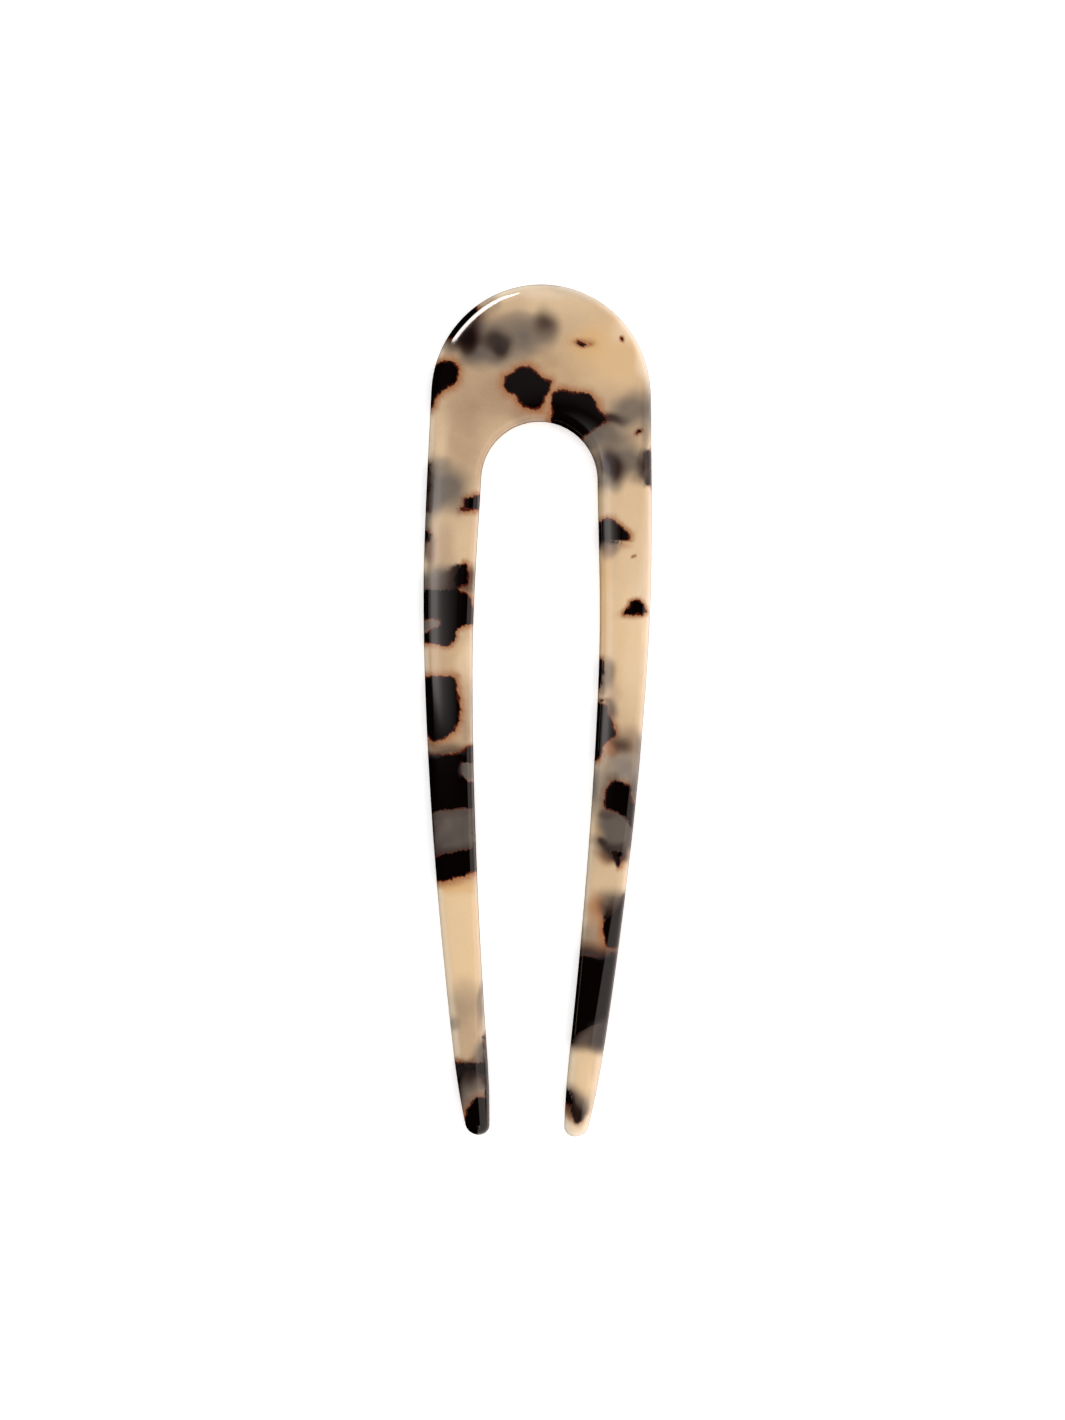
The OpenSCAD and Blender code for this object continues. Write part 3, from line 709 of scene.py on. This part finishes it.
@dataclass(frozen=True)
class TortoisePattern:
    """The chart of chips and patches, turned into measures at each point of the surface.

    veil and haze are the depths over which a buried chip's dark and its grey die out, fall how abruptly
    they do, and seam the thinnest sheet over a chip that blurs it in full. hiding is how much faster
    the chip measure grows with depth than across. blur is a buried chip's least blur and its growth
    with depth. bare_rise is how far a bare chip's top is taken above the face, and sink_rise how far
    it is where the chip starts to sink. wander_gain is how fast the wander of a top sets in with depth.
    margin is how far round its outline a chip is worked out, and far the chip measure beyond that.
    fullest is the most that one patch or one buried chip covers.
    """

    chips: tuple[Chip, ...]
    patches: dict[Tint, tuple[Patch, ...]]
    top: float
    margin: float = 2.6
    far: float = 4.0
    veil: float = 0.95
    haze: float = 2.4
    fall: float = 1.7
    seam: float = 0.06
    hiding: float = 4.0
    blur: tuple[float, float] = (0.05, 0.8)
    fullest: float = 0.98
    corner_cut: float = 0.1
    bare_rise: float = 0.3
    sink_rise: float = 0.05
    wander_gain: float = 4.0
    rim_light_span: tuple[float, float] = (0.17, 0.5)
    arch_spring: float = 24.65
    gap_reach: tuple[float, float] = (7.9, 8.6)
    left_bare: tuple[float, float] = (23, 29)
    right_bare: tuple[float, float] = (50, 58)
    names: tuple[str, ...] = (
        "honey", "cream", "amber", "brown", "cloud", "core", "shade", "murk", "dusk", "tone")
    chip_wander: Ripple = Ripple(length=0.9, height=0.055, seed=5)
    depth_wander: Ripple = Ripple(length=2.3, height=0.12, seed=11)
    wander: tuple[Ripple, Ripple] = (Ripple(5.0, 0.16, 3), Ripple(5.0, 0.16, 4))

    def measures(self, x: Array, down: Array, z: Array) -> dict[str, Array]:
        """The pattern at points of the surface.

        chip is the signed distance in millimetres to the outline of the nearest bare chip, shared out
        by its bleed, and it grows faster as the sheet covers that chip. shade and murk are the dark and
        the grey that buried chips show through the sheet. painted_rim_light says how near the pin's
        slender rim is, and is painted light there: the rim is made paler, as by light shining through it.
        These and the tints run from 0 to 1, and tone runs from -1, dull, to 1, light.

        Args:
            x: How far right of the centre line each point is.
            down: How far below the top of the crown it is.
            z: Its height above the back.

        Returns:
            One array for each measure, by name.
        """
        flat = np.stack([x, down], axis=1)
        found = {name: np.zeros(len(x)) for name in self.names}
        found["chip"] = np.full(len(x), self.far)
        # Painted light: the slender rim is lit paler, as by light shining through the acetate there.
        painted_rim_light = smooth(self.top - self.rim_light_span[0], self.top - self.rim_light_span[1], z)
        found["painted_rim_light"] = painted_rim_light * self.painted_rim_light_share(x, down)
        bent = flat + np.stack([r.at(flat) for r in self.wander], axis=1)
        for tint, group in self.patches.items():
            for patch in group:
                self.lay_patch(tint, patch, bent, z, found)
        ragged = self.chip_wander.at(flat)
        uneven = self.depth_wander.at(flat)
        for chip in self.chips:
            self.lay_chip(chip, flat, z, ragged, uneven, found)
        return found

    def painted_rim_light_share(self, x: Array, down: Array) -> Array:
        """Where painted light makes the pin's slender rim paler, as if lit through: all round but for part
        of the gap.

        It isn't paler near the gap's arch and the inner side of the prongs below it. On the left prong
        that ends soon below the arch, and on the right prong by its middle.

        Args:
            x: How far right of the centre line each point is.
            down: How far below the top of the crown it is.

        Returns:
            One share for each point, from 0 to 1.
        """
        reach = np.hypot(x, np.minimum(0, down - self.arch_spring))
        below = np.where(x < 0, smooth(*self.left_bare, down), smooth(*self.right_bare, down))
        return np.maximum(smooth(*self.gap_reach, reach), below)

    def lay_patch(self, tint: Tint, patch: Patch, flat: Array, z: Array, found: dict[str, Array]) -> None:
        """Adds one patch: full inside its oval, blurred across its rim, weaker on a face that is far.

        Args:
            tint: Its tint.
            patch: The patch.
            flat: The points as rows of (x, down).
            z: The points' heights.
            found: The measures, changed in place.
        """
        turn = math.radians(patch.turn)
        away = flat - (patch.x, patch.down)
        u = (away[:, 0] * math.cos(turn) + away[:, 1] * math.sin(turn)) / patch.across
        v = (away[:, 1] * math.cos(turn) - away[:, 0] * math.sin(turn)) / patch.along
        reach = (np.abs(u) ** patch.square + np.abs(v) ** patch.square) ** (1 / patch.square)
        cover = smooth(1 + patch.soft, 1 - patch.soft, reach)
        fade = np.exp(-np.abs(z - patch.height) / self.haze)
        fade = fade / math.exp(-abs(self.top - patch.height) / self.haze)
        amount = cover * np.clip(patch.strength * fade, 0, self.fullest)
        if tint in (Tint.LIGHT, Tint.DULL):
            found["tone"] += amount if tint is Tint.LIGHT else -amount
        else:
            found[tint.value] = 1 - (1 - found[tint.value]) * (1 - amount)

    def lay_chip(
        self, chip: Chip, flat: Array, z: Array, ragged: Array, uneven: Array, found: dict[str, Array]
    ) -> None:
        """Adds one chip: bare where the surface cuts it, and a blurred core and cloud where it is buried.

        A buried chip blurs by as much as most of the acetate over it, and dies out with depth.

        Args:
            chip: The chip.
            flat: The points as rows of (x, down).
            z: The points' heights.
            ragged: A small wander of the chip's outline at each point.
            uneven: A small wander of the depth of its top.
            found: The measures, changed in place.
        """
        corners = np.array(chip.corners)
        low = corners.min(axis=0) - self.margin
        high = corners.max(axis=0) + self.margin
        near = np.all((flat > low) & (flat < high), axis=1)
        points = flat[near]
        outline = outline_distance(points, rounded(corners, self.corner_cut)) + ragged[near]
        top = np.full(len(points), self.top + self.bare_rise)
        if chip.under or chip.sink:
            top = self.top - chip.under + uneven[near] * min(1, chip.under * self.wander_gain)
        if chip.sink:
            heading = math.radians(chip.sink.heading)
            past = (points - (chip.sink.x, chip.sink.down)) @ (math.cos(heading), math.sin(heading))
            top = top - chip.sink.slope * np.maximum(0, past) + (0 if chip.under else self.sink_rise)
        bottom = self.top - chip.through
        over = np.maximum(z[near] - top, bottom - z[near])
        depth = np.maximum(over, 0)
        spread = np.where(outline > 0, outline / chip.bleed, outline)
        found["chip"][near] = np.minimum(found["chip"][near], spread + self.hiding * depth)
        blur = self.blur[0] + self.blur[1] * depth
        cover = smooth(1, -1, outline / blur) * smooth(0, self.seam, over)
        for name, reach in (("shade", self.veil), ("murk", self.haze)):
            amount = cover * np.exp(-(depth / reach) ** self.fall)
            found[name][near] = 1 - (1 - found[name][near]) * (1 - amount * self.fullest)


@dataclass(frozen=True)
class Grain:
    """A noise to either side of zero: its lumps to a millimetre, detail, roughness and whole swing."""

    scale: float
    detail: float
    rough: float
    swing: float


@dataclass(frozen=True)
class AcetateFinish:
    """Polished blonde tortoise acetate: its colours, its grain, and how its surface takes light.

    glow and rim are the brown fringe of a chip, wide and narrow, and black the chip itself. The wide
    fringe, glow, is partly the acetate's own colour and partly painted shade of light scattered in the
    sheet and lost in the chip. Buried, it shows as umber and core, and as cloud in the sheet round it.
    dusk is a grey that lies over the black.
    """

    dull: Colour = (0.345, 0.228, 0.142)
    light: Colour = (0.785, 0.60, 0.375)
    honey: Colour = (0.66, 0.415, 0.18)
    cream: Colour = (0.86, 0.75, 0.60)
    amber: Colour = (0.38, 0.165, 0.070)
    brown: Colour = (0.085, 0.042, 0.028)
    cloud: Colour = (0.101, 0.088, 0.077)
    umber: Colour = (0.046, 0.024, 0.018)
    dusk: Colour = (0.042, 0.035, 0.034)
    core: Colour = (0.0045, 0.0018, 0.0015)
    glow: Colour = (0.34, 0.145, 0.060)
    rim: Colour = (0.060, 0.0085, 0.0028)
    black: Colour = (0.0014, 0.0006, 0.0005)
    mottle: Grain = Grain(0.45, 5.0, 0.6, 0.2)
    grain: Grain = Grain(3.0, 5.0, 0.8, 0.24)
    ragged: Grain = Grain(5.0, 4.0, 0.75, 0.5)
    uneven: Grain = Grain(1.1, 2.0, 0.5, 0.6)
    rim_light_cream: float = 0.5
    glow_width: float = 1.2
    glow_power: float = 2.0
    glow_share: float = 0.95
    rim_span: tuple[float, float] = (0.1, -0.06)
    rim_width: float = 0.17
    edge_blur: float = 0.04
    umber_share: float = 1.4
    core_power: float = 2.5
    roughness: float = 0.06
    ior: float = 1.49

    def material(self) -> bpy.types.Material:
        """Builds the material's nodes, from the ground colour up to the bare chips.

        Returns:
            The new material.
        """
        made = material_of("tortoise_acetate")
        tree = made.node_tree
        shader = tree.nodes["Principled BSDF"]
        wires = Wires(tree)
        ground = wires.sum(wires.scale(wires.measure("tone"), 0.5, 0.5), wires.noise(self.mottle))
        ground = wires.sum(ground, wires.noise(self.grain))
        colour = wires.mix(ground, self.dull, self.light)
        colour = wires.mix(wires.measure("honey"), colour, self.honey)
        # Painted light: the pin's slender rim is paled towards cream, as if lit through the acetate.
        painted_rim_light = wires.scale(wires.measure("painted_rim_light"), self.rim_light_cream, 0.0)
        colour = wires.mix(wires.sum(painted_rim_light, wires.measure("cream")), colour, self.cream)
        colour = wires.mix(wires.measure("amber"), colour, self.amber)
        edge = wires.sum(wires.measure("chip"), wires.noise(self.ragged))
        # Partly painted shade: the wide brown fringe round each chip stands in part for light scattered in
        # the sheet and lost in the chip, and is in part the acetate's colour.
        near = wires.power(wires.span(edge, self.glow_width, 0.0), self.glow_power)
        colour = wires.mix(wires.scale(near, self.glow_share, 0.0), colour, self.glow)
        colour = wires.mix(wires.measure("brown"), colour, self.brown)
        colour = wires.mix(wires.measure("cloud"), colour, self.cloud)
        colour = self.darken(wires, colour, wires.measure("core"))
        colour = wires.mix(wires.span(edge, *self.rim_span), colour, self.rim)
        inner = wires.sum(wires.sum(edge, wires.noise(self.uneven)), self.rim_width)
        colour = wires.mix(wires.measure("murk"), colour, self.cloud)
        colour = self.darken(wires, colour, wires.measure("shade"))
        colour = wires.mix(wires.span(inner, self.edge_blur, -self.edge_blur), colour, self.black)
        colour = wires.mix(wires.measure("dusk"), colour, self.dusk)
        tree.links.new(colour, shader.inputs["Base Color"])
        shader.inputs["Roughness"].default_value = self.roughness
        shader.inputs["IOR"].default_value = self.ior
        return made

    def darken(self, wires: "Wires", colour: Socket, share: Socket) -> Socket:
        """Turns a colour to umber by that share, and where the share is high, on to near black."""
        umber = wires.mix(wires.scale(share, self.umber_share, 0.0), colour, self.umber)
        return wires.mix(wires.power(share, self.core_power), umber, self.core)


class Wires:
    """Short ways to add and join the few kinds of node that the finish needs."""

    def __init__(self, tree: bpy.types.NodeTree) -> None:
        """Keeps the tree, and the object's coordinates in millimetres for the noises."""
        self.tree = tree
        self.place = tree.nodes.new("ShaderNodeMapping")
        self.place.inputs["Scale"].default_value = (1 / MM, 1 / MM, 1 / MM)
        where = tree.nodes.new("ShaderNodeTexCoord")
        tree.links.new(where.outputs["Object"], self.place.inputs["Vector"])

    def feed(self, socket: Socket, value: object) -> None:
        """Links a socket to another, or sets it to a number or a colour."""
        if isinstance(value, Socket):
            self.tree.links.new(value, socket)
        elif isinstance(value, tuple):
            socket.default_value = (*value, 1.0)
        else:
            socket.default_value = value

    def measure(self, name: str) -> Socket:
        """One of the pattern's measures, read from the mesh."""
        node = self.tree.nodes.new("ShaderNodeAttribute")
        node.attribute_name = name
        return node.outputs["Fac"]

    def noise(self, grain: Grain) -> Socket:
        """A noise that swings about zero.

        Args:
            grain: Its lumps, detail, roughness and swing.

        Returns:
            The socket with the noise.
        """
        node = self.tree.nodes.new("ShaderNodeTexNoise")
        self.feed(node.inputs["Vector"], self.place.outputs["Vector"])
        for name, value in (("Scale", grain.scale), ("Detail", grain.detail), ("Roughness", grain.rough)):
            self.feed(node.inputs[name], value)
        return self.scale(node.outputs["Fac"], grain.swing, -grain.swing / 2)

    def math(self, operation: str, *values: object) -> Socket:
        """A Math node with that operation on the values."""
        node = self.tree.nodes.new("ShaderNodeMath")
        node.operation = operation
        for socket, value in zip(node.inputs, values):
            self.feed(socket, value)
        return node.outputs["Value"]

    def sum(self, first: object, second: object) -> Socket:
        """The two values added."""
        return self.math("ADD", first, second)

    def scale(self, value: object, factor: float, offset: float) -> Socket:
        """The value times a factor plus an offset."""
        return self.math("MULTIPLY_ADD", value, factor, offset)

    def power(self, value: object, exponent: float) -> Socket:
        """The value raised to a power."""
        return self.math("POWER", value, exponent)

    def span(self, value: object, low: float, high: float) -> Socket:
        """Smooth rise from 0 where the value is low to 1 where it is high."""
        node = self.tree.nodes.new("ShaderNodeMapRange")
        node.interpolation_type = "SMOOTHSTEP"
        self.feed(node.inputs["Value"], value)
        self.feed(node.inputs["From Min"], min(low, high))
        self.feed(node.inputs["From Max"], max(low, high))
        self.feed(node.inputs["To Min"], 0.0 if low < high else 1.0)
        self.feed(node.inputs["To Max"], 1.0 if low < high else 0.0)
        return node.outputs["Result"]

    def mix(self, share: object, first: object, second: object) -> Socket:
        """The first colour turned into the second by that share."""
        # A Mix node keeps its colours in inputs 6 and 7 and output 2, after those for numbers and vectors.
        node = self.tree.nodes.new("ShaderNodeMix")
        node.data_type = "RGBA"
        node.clamp_factor = True
        self.feed(node.inputs[0], share)
        self.feed(node.inputs[6], first)
        self.feed(node.inputs[7], second)
        return node.outputs[2]


@dataclass(frozen=True)
class HairPin:
    """The whole pin: its form, its pattern and its finish."""

    form: PinForm
    pattern: TortoisePattern
    finish: AcetateFinish

    def build(self) -> bpy.types.Object:
        """Makes the pin's object with its pattern and finish, in place of the plain solid.

        Returns:
            The new object.
        """
        mesh = self.form.mesh("hair_pin_acetate")
        self.mark(mesh)
        mesh.materials.append(self.finish.material())
        pin = add("hair_pin_acetate", mesh)
        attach(pin, "root")
        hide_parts(NODE)
        return pin

    def mark(self, mesh: bpy.types.Mesh) -> None:
        """Writes the pattern's measures onto the mesh, one attribute each.

        Args:
            mesh: The pin's mesh, in metres.
        """
        place = np.zeros(len(mesh.vertices) * 3)
        mesh.vertices.foreach_get("co", place)
        x, y, z = place.reshape(-1, 3).T / MM
        for name, values in self.pattern.measures(x, self.form.length / 2 - y, z).items():
            attribute = mesh.attributes.new(name, "FLOAT", "POINT")
            attribute.data.foreach_set("value", values.astype(np.float32))


@dataclass(frozen=True)
class TableTop:
    """The white table that the pin lies on: a wide round sheet, lit a little from below."""

    radius: float = 5.0
    rings: int = 24
    spokes: int = 96
    drop: float = 0.00002
    crowding: int = 3
    colour: Colour = (0.93, 0.93, 0.93)
    glow: float = 0.35

    def build(self) -> bpy.types.Object:
        """Makes the table: rings of points round the middle, closer together near the pin.

        Returns:
            The new object.
        """
        reach = self.radius * (np.arange(1, self.rings + 1) / self.rings) ** self.crowding
        turn = np.arange(self.spokes) / self.spokes * math.tau
        x = np.outer(reach, np.cos(turn)).ravel()
        y = np.outer(reach, np.sin(turn)).ravel()
        points = np.stack([x, y, np.full(len(x), -self.drop)], axis=1)
        cells = ring_cells(self.rings, self.spokes)
        mesh = mesh_of("table_top", points, cells + [list(range(self.spokes))])
        material = material_of("white_table")
        shader = material.node_tree.nodes["Principled BSDF"]
        for name, value in (
            ("Base Color", (*self.colour, 1.0)),
            ("Roughness", 1.0),
            ("Specular IOR Level", 0.0),
            ("Emission Color", (1.0, 1.0, 1.0, 1.0)),
            ("Emission Strength", self.glow),
        ):
            shader.inputs[name].default_value = value
        mesh.materials.append(material)
        table = add("table_top", mesh)
        table.visible_glossy = False
        return table


def emit(name: str, points: Array, level: Array, colour: Colour, lamp: bool) -> bpy.types.Object:
    """Hangs a sheet of light over the table, unseen by the camera and casting no shadow.

    Args:
        name: The sheet's name.
        points: Its points in metres, rows by columns by (x, y, z).
        level: The light that each point gives off, rows by columns.
        colour: The light's colour.
        lamp: Whether it lights the pin; otherwise it only shines in the gloss.

    Returns:
        The new object.
    """
    index = np.arange(level.size).reshape(level.shape)
    cells = np.stack([index[:-1, :-1], index[:-1, 1:], index[1:, 1:], index[1:, :-1]], axis=2)
    mesh = mesh_of(name, points, cells.reshape(-1, 4).tolist())
    values = level.ravel().astype(np.float32)
    mesh.attributes.new("level", "FLOAT", "POINT").data.foreach_set("value", values)
    made = material_of(name)
    tree = made.node_tree
    tree.nodes.clear()
    light = tree.nodes.new("ShaderNodeEmission")
    wires = Wires(tree)
    wires.feed(light.inputs["Color"], colour)
    wires.feed(light.inputs["Strength"], wires.measure("level"))
    ends = tree.nodes.new("ShaderNodeOutputMaterial").inputs["Surface"]
    tree.links.new(light.outputs["Emission"], ends)
    mesh.materials.append(made)
    sheet = add(name, mesh)
    sheet.visible_camera = False
    sheet.visible_shadow = False
    sheet.visible_diffuse = lamp
    return sheet


def faded(level: Array, fades: tuple, inside: tuple) -> Array:
    """A light's level with a smooth rise from each of its borders.

    Args:
        level: The level without the borders.
        fades: How far the light takes to rise from each border.
        inside: How far inside each border each point is.

    Returns:
        The level at each point.
    """
    for fade, depth in zip(fades, inside):
        level = level * smooth(0, fade, depth)
    return level


@dataclass(frozen=True)
class Card:
    """A card of light round the pin: the part of the sky that it fills, and how bright it is.

    turn lists headings from the right towards the crown, and near and far the angles from straight up
    at which the card starts and ends at each of them. fade is how far its light takes to rise from its
    four borders: at the two ends of turn, then at near and at far. All are in degrees. Each heading
    falls by slant for each degree that the card goes out from near. shift moves its pole to the side,
    to the mirror direction of the part of the pin that it is hung for, by so much for each unit of
    height. A card shines in the gloss alone unless it is a lamp too.
    """

    name: str
    turn: tuple[float, ...]
    near: tuple[float, ...]
    far: tuple[float, ...]
    bright: float
    fade: tuple[float, float, float, float] = (0.1, 0.1, 0.1, 0.1)
    slant: float = 0.0
    shift: tuple[float, float] = (0.0, 0.0)
    colour: Colour = (1.0, 0.87, 0.82)
    lamp: bool = False
    distance: float = 1.2
    steps: int = 60

    def build(self) -> bpy.types.Object:
        """Makes the card as a part of a sphere round the pin that gives off light.

        At heading a and angle from straight up b, a point is distance times (sin b cos a, sin b sin a,
        cos b), shifted to the side, and its light is the product of a smooth rise from each border.

        Returns:
            The new object.
        """
        share = np.linspace(0, 1, self.steps + 1)
        u, v = np.meshgrid(share, share, indexing="ij")
        heading = self.turn[0] + (self.turn[-1] - self.turn[0]) * u
        near = np.interp(heading, self.turn, self.near)
        far = np.interp(heading, self.turn, self.far)
        lean = near + (far - near) * v
        inside = (heading - self.turn[0], self.turn[-1] - heading, lean - near, far - lean)
        level = faded(np.full(lean.shape, self.bright), self.fade, inside)
        a, b = np.radians(heading - self.slant * (lean - near)), np.radians(lean)
        points = np.stack([np.sin(b) * np.cos(a), np.sin(b) * np.sin(a), np.cos(b)], axis=2)
        points[:, :, :2] += points[:, :, 2:] * self.shift
        return emit(self.name, points * self.distance, level, self.colour, self.lamp)


@dataclass(frozen=True)
class Window:
    """A long level panel of light over the table, to the left of the pin: it shines in the gloss alone.

    leans lists angles from straight up towards the left, in degrees, and levels how bright the panel is
    at each. sides are its two long sides, how far they lie towards the crown, and fade is how far its
    light takes to rise from each; these are shares of its height over the table.
    """

    name: str
    leans: tuple[float, ...]
    levels: tuple[float, ...]
    sides: tuple[float, float]
    fade: tuple[float, float]
    colour: Colour = (1.0, 0.92, 0.89)
    height: float = 1.0
    steps: tuple[int, int] = (24, 160)

    def build(self) -> bpy.types.Object:
        """Makes the panel as a grid: across it in even steps, and along it in even steps of the angle.

        At lean b and side s, a point is height times (-tan b, s, 1), and its light is the level at b
        times a smooth rise from each side.

        Returns:
            The new object.
        """
        across = np.linspace(*self.sides, self.steps[0] + 1)
        along = np.linspace(self.leans[0], self.leans[-1], self.steps[1] + 1)
        side, lean = np.meshgrid(across, along, indexing="ij")
        inside = (side - self.sides[0], self.sides[1] - side)
        level = faded(np.interp(lean, self.leans, self.levels), self.fade, inside)
        points = np.stack([-np.tan(np.radians(lean)), side, np.ones_like(side)], axis=2)
        return emit(self.name, points * self.height, level, self.colour, False)


@dataclass(frozen=True)
class Studio:
    """The light: a wide soft lamp overhead, cards that the gloss picks up, and a pale room."""

    cards: tuple[Card, ...] = (
        Card("arc_card", (101, 104, 108, 112, 116, 120, 130, 140, 146, 152.8),
             (22, 19, 15, 12, 10.5, 9.8, 8.8, 9.4, 10.2, 10.8), (22.4, 32, 37, 45, 51, 51, 47, 41, 44, 51),
             26.0, slant=0.1, shift=(-0.022, 0.142), colour=(1.0, 0.97, 0.93)),
        Card("right_card", (-95, -30, -20, -10, 8, 14, 85), (12, 12, 15, 24, 27, 45, 45),
             (155, 155, 155, 155, 155, 155, 155), 1.05, lamp=True),
        Card("crown_card", (40, 103), (0.5, 0.5), (40, 40), 0.2, fade=(15, 8, 7, 20), distance=1.3),
    )
    window: Window = Window(
        "left_window",
        (1.0, 1.5, 1.9, 2.4, 2.9, 3.5, 3.9, 5.0, 5.8, 6.6, 7.6, 8.7, 10, 12.6, 15.6, 19, 27, 45, 60, 66),
        (0, 0.1, 0.15, 0.24, 0.34, 0.45, 0.53, 0.7, 0.8, 0.95,
         1.15, 1.5, 2.0, 2.9, 3.2, 2.9, 1.8, 0.9, 0.6, 0),
        (-0.0155, 0.12), (0.008, 0.035))
    overhead: float = 1.88
    overhead_size: float = 1.7
    overhead_height: float = 1.2
    room: tuple[tuple[float, float], ...] = (
        (0.40, 0.02), (0.46, 0.72), (0.52, 0.72), (0.62, 0.42), (0.76, 0.16), (0.97, 0.07))

    def build(self) -> None:
        """Builds the cards and the window, hangs the overhead lamp and paints the room."""
        for sheet in (*self.cards, self.window):
            sheet.build()
        data = bpy.data.lights.new("overhead_lamp", "AREA")
        data.shape = "SQUARE"
        data.size = self.overhead_size
        data.energy = self.overhead * math.pi * data.size ** 2
        lamp = add("overhead_lamp", data)
        lamp.location = (0.0, 0.0, self.overhead_height)
        lamp.visible_camera = False
        lamp.visible_glossy = False
        self.paint_room()

    def paint_room(self) -> None:
        """Paints the room round the table: pale at the horizon, darker above, dark below the table.

        room lists heights and the grey at each, with 0 straight down, a half level and 1 straight up.
        """
        world = bpy.data.worlds.new("studio_room")
        bpy.context.scene.world = world
        world.use_nodes = True
        nodes = world.node_tree.nodes
        links = world.node_tree.links
        where = nodes.new("ShaderNodeTexCoord")
        split = nodes.new("ShaderNodeSeparateXYZ")
        ramp = nodes.new("ShaderNodeValToRGB")
        links.new(where.outputs["Generated"], split.inputs["Vector"])
        lift = nodes.new("ShaderNodeMath")
        lift.operation = "MULTIPLY_ADD"
        lift.inputs[1].default_value = 0.5
        lift.inputs[2].default_value = 0.5
        links.new(split.outputs["Z"], lift.inputs[0])
        links.new(lift.outputs["Value"], ramp.inputs["Fac"])
        band = ramp.color_ramp
        while len(band.elements) < len(self.room):
            band.elements.new(0.5)
        for element, (place, level) in zip(band.elements, self.room):
            element.position = place
            element.color = (level, level, level, 1.0)
        links.new(ramp.outputs["Color"], nodes["Background"].inputs["Color"])
        world.cycles_visibility.glossy = False


@dataclass(frozen=True)
class PhotoCamera:
    """A camera straight above the pin, as in the photograph, with the pin a little turned in its view."""

    span: float = 180.24
    focus_height: float = 2.0
    lens: float = 100.0
    sensor: float = 36.0
    offset: tuple[float, float] = (-0.302, -0.001)
    turn: float = 1.107
    clip: float = 0.01

    def build(self) -> bpy.types.Object:
        """Makes the camera, so that the frame's long side spans span millimetres at the pin's middle.

        Returns:
            The new camera, set as the scene's.
        """
        data = bpy.data.cameras.new("photo_camera")
        data.lens = self.lens
        data.sensor_width = self.sensor
        data.clip_start = self.clip
        camera = add("photo_camera", data)
        height = self.span * self.lens / self.sensor + self.focus_height
        camera.location = (self.offset[0] * MM, self.offset[1] * MM, height * MM)
        camera.rotation_euler = (0.0, 0.0, math.radians(self.turn))
        bpy.context.scene.camera = camera
        return camera


def main() -> None:
    """Builds the pin, the table, the light and the camera."""
    bpy.context.scene.view_settings.view_transform = "Standard"
    low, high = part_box(NODE)
    size = [(b - a) / MM for a, b in zip(low, high)]
    form = PinForm(length=size[1], width=size[0], thick=size[2])
    pattern = TortoisePattern(CHIPS + BACK_CHIPS, PATCHES, top=form.thick)
    pin = HairPin(form, pattern, AcetateFinish()).build()
    LOG.info("%s: %d faces", pin.name, len(pin.data.polygons))
    table = TableTop().build()
    LOG.info("%s: %d faces", table.name, len(table.data.polygons))
    Studio().build()
    PhotoCamera().build()


if __name__ == "__main__":
    main()
